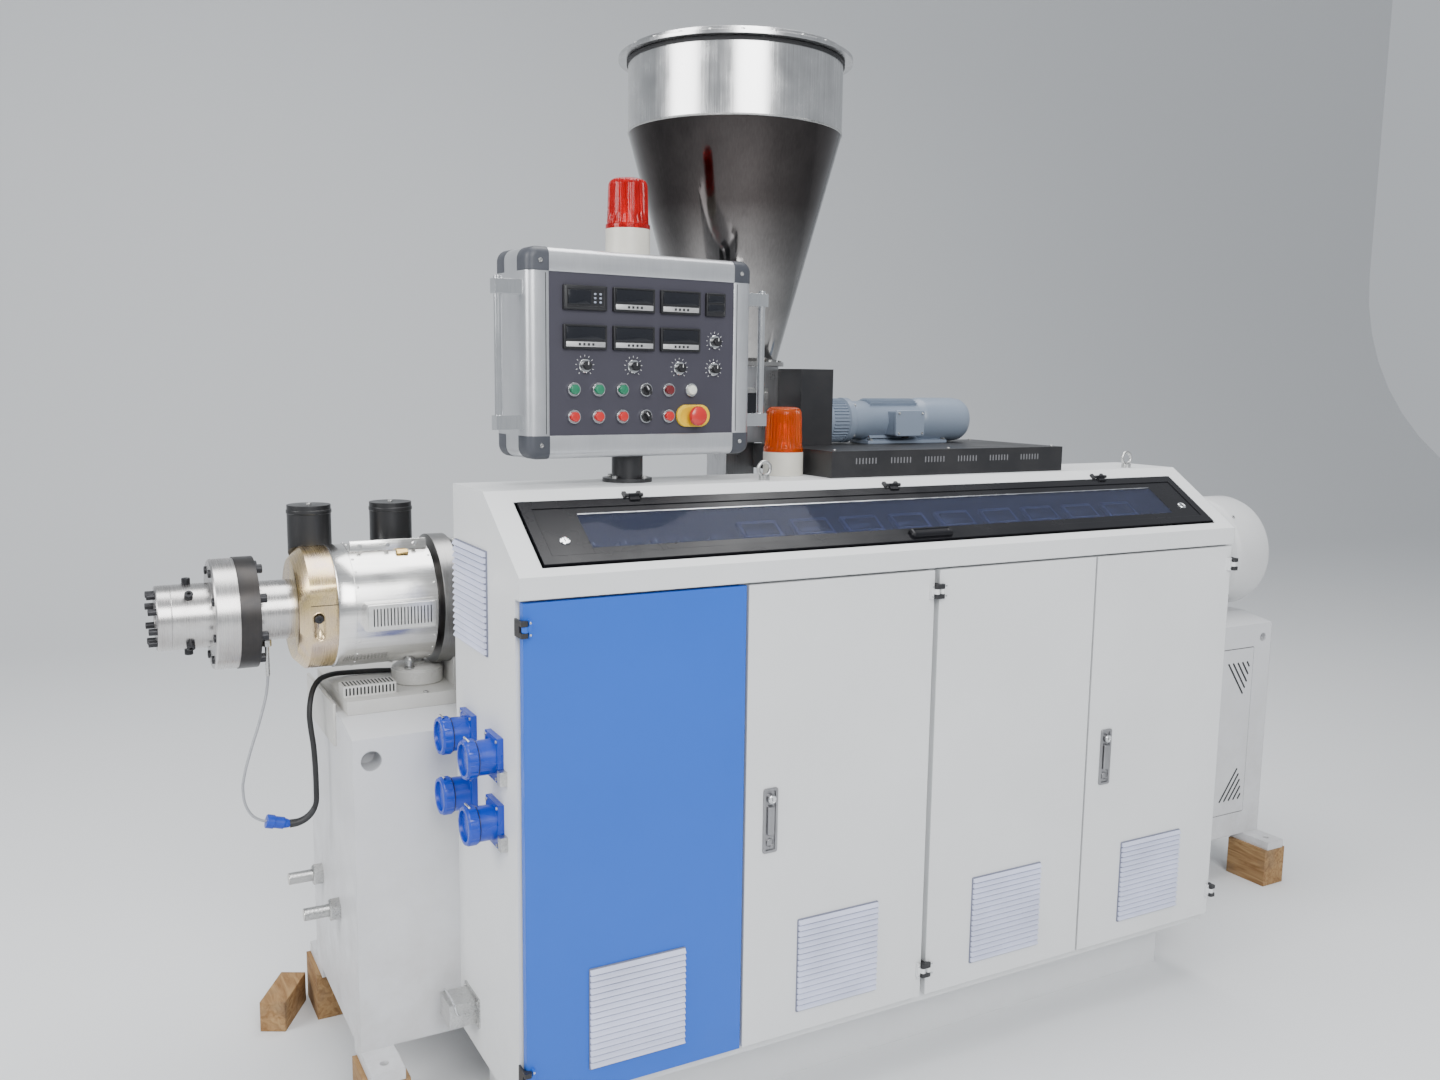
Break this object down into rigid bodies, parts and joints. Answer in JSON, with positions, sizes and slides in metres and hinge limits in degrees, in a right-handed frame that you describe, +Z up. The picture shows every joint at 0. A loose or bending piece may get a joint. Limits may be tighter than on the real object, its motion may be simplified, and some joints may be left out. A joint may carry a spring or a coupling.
{
  "type": "plastic extruder",
  "caption": "Twin-screw plastic extruder: louvred cabinet in front, stainless hopper, heated barrel with die head, swivelling control box and main motor.",
  "frame": {"origin": "on the floor, under the middle of the bounding box", "axes": "+X from the die head towards the main motor, +Y from the cabinet doors towards the back, +Z up"},
  "size_m": [3.216, 0.984, 2.317],
  "materials": {
    "base_frame": "satin white enamel",
    "base_top": "satin white enamel",
    "drain_pot": "gloss white enamel",
    "packing_timbers": "raw sawn softwood",
    "water_nipples": "machined steel",
    "cabinet_shell": "textured white powder coat",
    "cabinet_plinth": "textured white powder coat",
    "instrument_panel": "satin black",
    "left_vent": "moulded white plastic",
    "sockets": "moulded blue plastic",
    "cabinet_fittings": "zinc plated",
    "lifting_eyes": "zinc plated",
    "door_hinges": "black die casting",
    "lid_hinges": "black die casting",
    "door_1": "blue powder coat",
    "vent_1": "moulded white plastic",
    "door_2": "textured white powder coat",
    "door_3": "textured white powder coat",
    "door_4": "textured white powder coat",
    "lid_frame": "satin black",
    "lid_glass": "tinted clear",
    "box_post": "satin black",
    "box_shell": "satin anodised",
    "box_corners": "dark grey moulding",
    "box_face": "dark grey satin",
    "box_handles": "polished tube",
    "box_instruments": "black mouldings",
    "red_beacon_base": "off-white moulding",
    "red_beacon_lens": "translucent red",
    "orange_beacon_base": "off-white moulding",
    "orange_beacon_lens": "translucent orange",
    "hopper": "brushed stainless sheet",
    "feeder_housing": "machined stainless",
    "feeder_tray": "satin black",
    "feeder_guard": "satin black",
    "feeder_motor": "grey-blue enamel",
    "barrel": "machined nitrided steel",
    "barrel_shrouds": "bright stainless sheet",
    "barrel_flanges": "machined steel",
    "terminal_caps": "black moulding",
    "clamp_ring": "yellow zinc plated",
    "die_adapter": "turned steel",
    "retaining_flange": "blackened steel",
    "die_head": "machined steel",
    "gearbox": "white enamel",
    "main_motor": "white enamel"
  },
  "bodies": {
    "machine": {"base_frame": "base_frame", "base_top": "base_top", "drain_pot": "drain_pot", "packing_timbers": "packing_timbers", "water_nipples": "water_nipples", "cabinet_shell": "cabinet_shell", "cabinet_plinth": "cabinet_plinth", "instrument_panel": "instrument_panel", "left_vent": "left_vent", "sockets": "sockets", "cabinet_fittings": "cabinet_fittings", "lifting_eyes": "lifting_eyes", "door_hinges": "door_hinges", "lid_hinges": "lid_hinges", "box_post": "box_post", "orange_beacon_base": "orange_beacon_base", "orange_beacon_lens": "orange_beacon_lens", "hopper": "hopper", "feeder_housing": "feeder_housing", "feeder_tray": "feeder_tray", "feeder_guard": "feeder_guard", "feeder_motor": "feeder_motor", "barrel": "barrel", "barrel_shrouds": "barrel_shrouds", "barrel_flanges": "barrel_flanges", "terminal_caps": "terminal_caps", "clamp_ring": "clamp_ring", "die_adapter": "die_adapter", "retaining_flange": "retaining_flange", "die_head": "die_head", "gearbox": "gearbox", "main_motor": "main_motor"},
    "door_1": {"door_1": "door_1", "vent_1": "vent_1"},
    "door_2": {"door_2": "door_2"},
    "door_3": {"door_3": "door_3"},
    "door_4": {"door_4": "door_4"},
    "lid": {"lid_frame": "lid_frame", "lid_glass": "lid_glass"},
    "control_box": {"box_shell": "box_shell", "box_corners": "box_corners", "box_face": "box_face", "box_handles": "box_handles", "box_instruments": "box_instruments", "red_beacon_base": "red_beacon_base", "red_beacon_lens": "red_beacon_lens"}
  },
  "joints": [
    {"name": "door_1_hinge", "type": "hinge", "parent": "machine", "child": "door_1", "pos_m": [-1.035, -0.486, 0.6605], "axis": [0, 0, -1], "range_deg": [0, 110]},
    {"name": "door_2_hinge", "type": "hinge", "parent": "machine", "child": "door_2", "pos_m": [-0.109, -0.486, 0.6605], "axis": [0, 0, 1], "range_deg": [0, 90]},
    {"name": "door_3_hinge", "type": "hinge", "parent": "machine", "child": "door_3", "pos_m": [-0.095, -0.486, 0.6605], "axis": [0, 0, -1], "range_deg": [0, 90]},
    {"name": "door_4_hinge", "type": "hinge", "parent": "machine", "child": "door_4", "pos_m": [0.831, -0.486, 0.6605], "axis": [0, 0, 1], "range_deg": [0, 110]},
    {"name": "lid_hinge", "type": "hinge", "parent": "machine", "child": "lid", "pos_m": [-0.102, -0.30707, 1.31516], "axis": [-1, 0, 0], "range_deg": [0, 75]},
    {"name": "box_swivel", "type": "hinge", "parent": "machine", "child": "control_box", "pos_m": [-0.688, -0.157, 1.386], "axis": [0, 0, 1], "range_deg": [-30, 30]}
  ]
}
